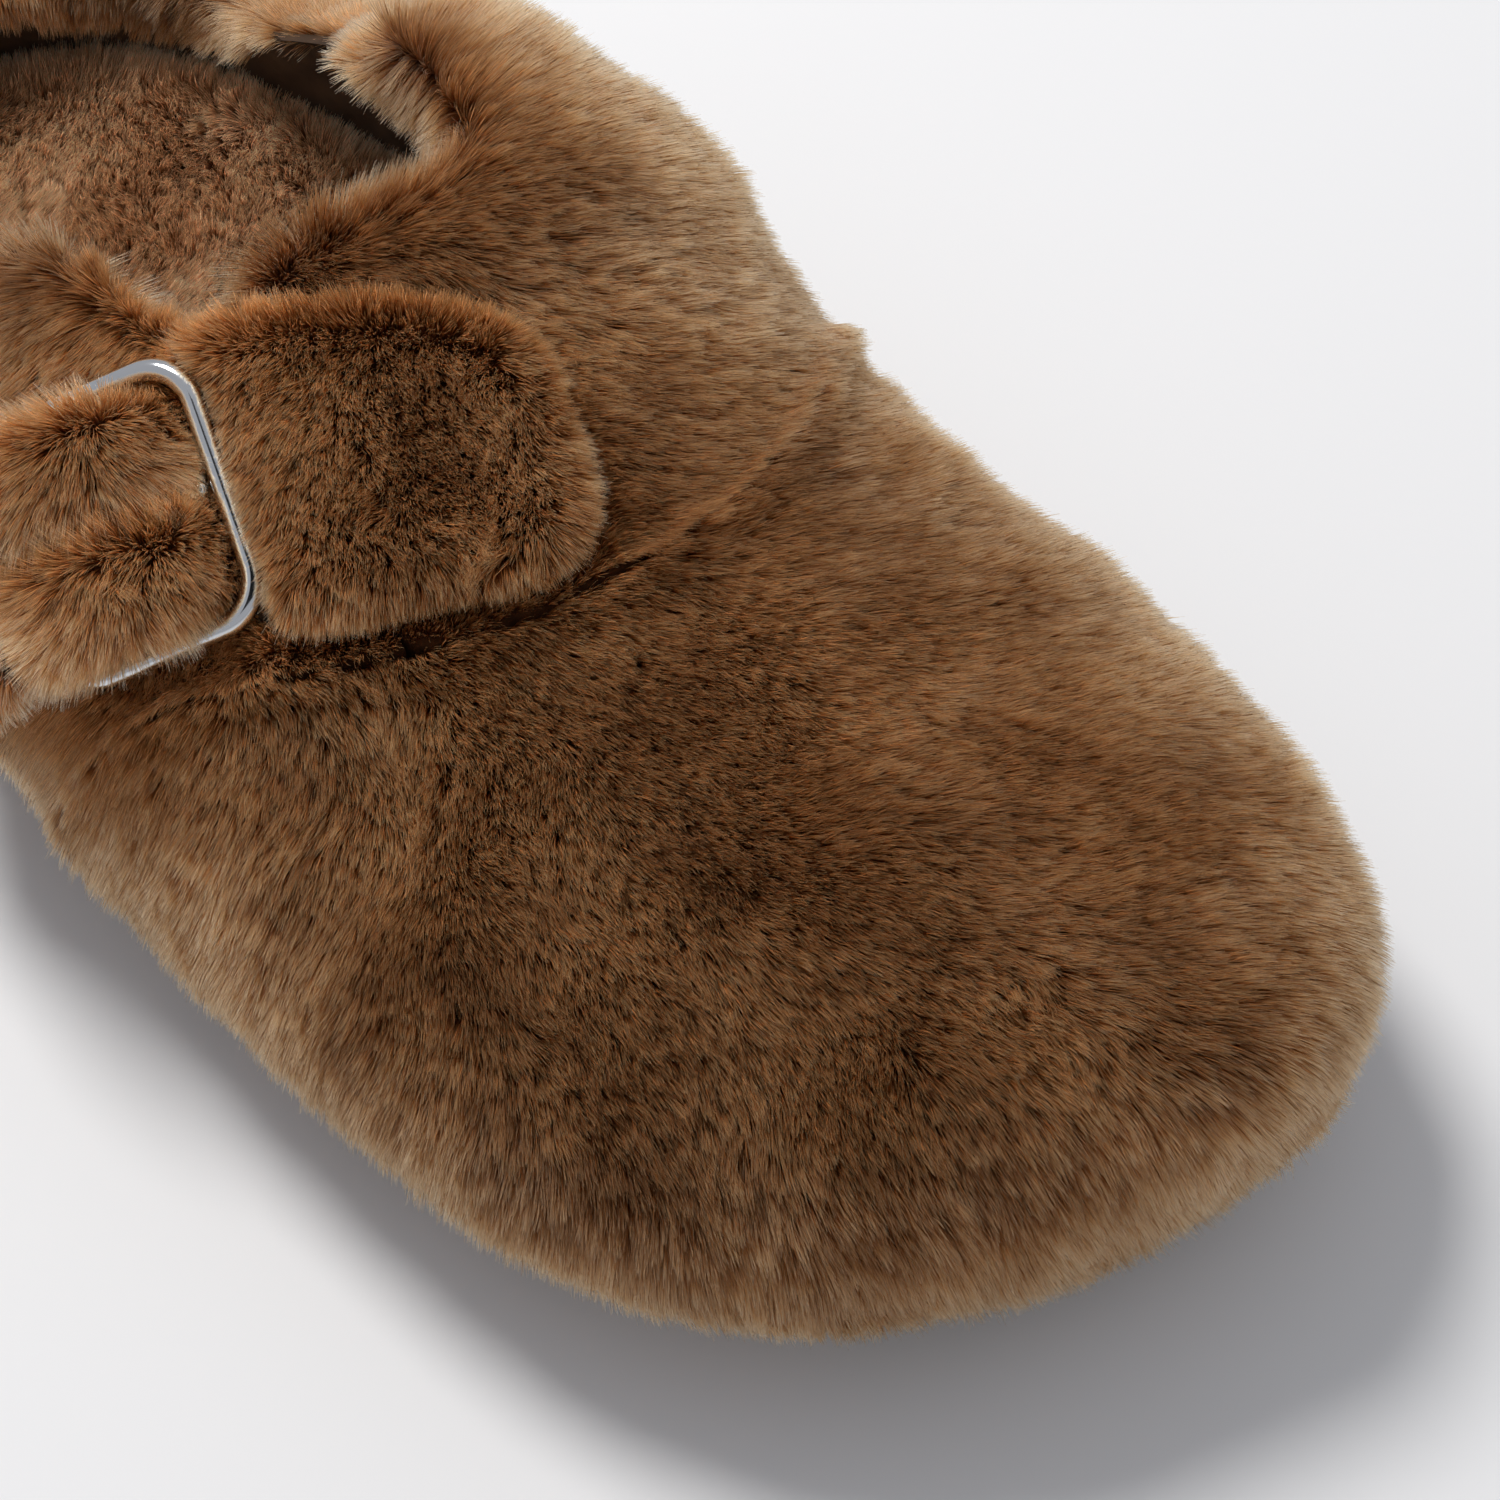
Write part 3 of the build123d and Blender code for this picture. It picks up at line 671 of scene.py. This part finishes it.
def sheet(name, half_x, half_y, finish):
    """A flat sheet for the studio."""
    mesh = bpy.data.meshes.new(name)
    corners = [(-half_x, -half_y, 0), (half_x, -half_y, 0), (half_x, half_y, 0), (-half_x, half_y, 0)]
    mesh.from_pydata(corners, [], [(0, 1, 2, 3)])
    mesh.materials.append(finish)
    piece = bpy.data.objects.new(name, mesh)
    bpy.context.scene.collection.objects.link(piece)
    return piece


def add_floor():
    floor = sheet("floor", FLOOR_HALF, FLOOR_HALF, FLOOR_PAPER)


def add_light(name, place, size, watts, colour):
    """A round area light that points at the object."""
    data = bpy.data.lights.new(name, "AREA")
    data.shape = "DISK"
    data.size = size
    data.energy = watts
    data.color = colour
    lamp = bpy.data.objects.new(name, data)
    lamp.location = place
    lamp.rotation_euler = (LOOK_AT - Vector(place)).to_track_quat("-Z", "Y").to_euler()
    bpy.context.scene.collection.objects.link(lamp)


def view_back():
    """From the object towards the camera."""
    return Vector((math.sin(AZIMUTH) * math.cos(ELEVATION), -math.cos(AZIMUTH) * math.cos(ELEVATION),
                   math.sin(ELEVATION)))


def add_card():
    """A dark card behind the camera, seen only in glossy reflections, so that the wire reads as metal."""
    card = sheet("card", CARD_HALF_WIDTH, CARD_HALF_HEIGHT, CARD_BLACK)
    card.location = LOOK_AT + view_back() * (CAMERA_DISTANCE + CARD_BEHIND_CAMERA)
    card.rotation_euler = view_back().to_track_quat("Z", "Y").to_euler()
    card.visible_camera = card.visible_diffuse = card.visible_shadow = card.visible_transmission = False


def add_studio():
    add_floor()
    add_light("key", **KEY)
    add_card()
    world = bpy.data.worlds.new("studio")
    world.use_nodes = True
    sky = world.node_tree.nodes["Background"]
    sky.inputs["Color"].default_value = (*SKY_COLOUR, 1)
    sky.inputs["Strength"].default_value = SKY_STRENGTH
    scene = bpy.context.scene
    scene.world = world
    scene.view_settings.view_transform = "Standard"


def add_camera():
    data = bpy.data.cameras.new("camera")
    data.lens = LENS
    data.sensor_width = SENSOR
    data.clip_start = CLIP_START
    camera = bpy.data.objects.new("camera", data)
    camera.location = LOOK_AT + view_back() * CAMERA_DISTANCE
    camera.rotation_euler = (-view_back()).to_track_quat("-Z", "Y").to_euler()
    bpy.context.scene.collection.objects.link(camera)
    bpy.context.scene.camera = camera


add_camera()
add_studio()
dress_cad()
for node, pile in PILES.items():
    grow_fur(node, pile)
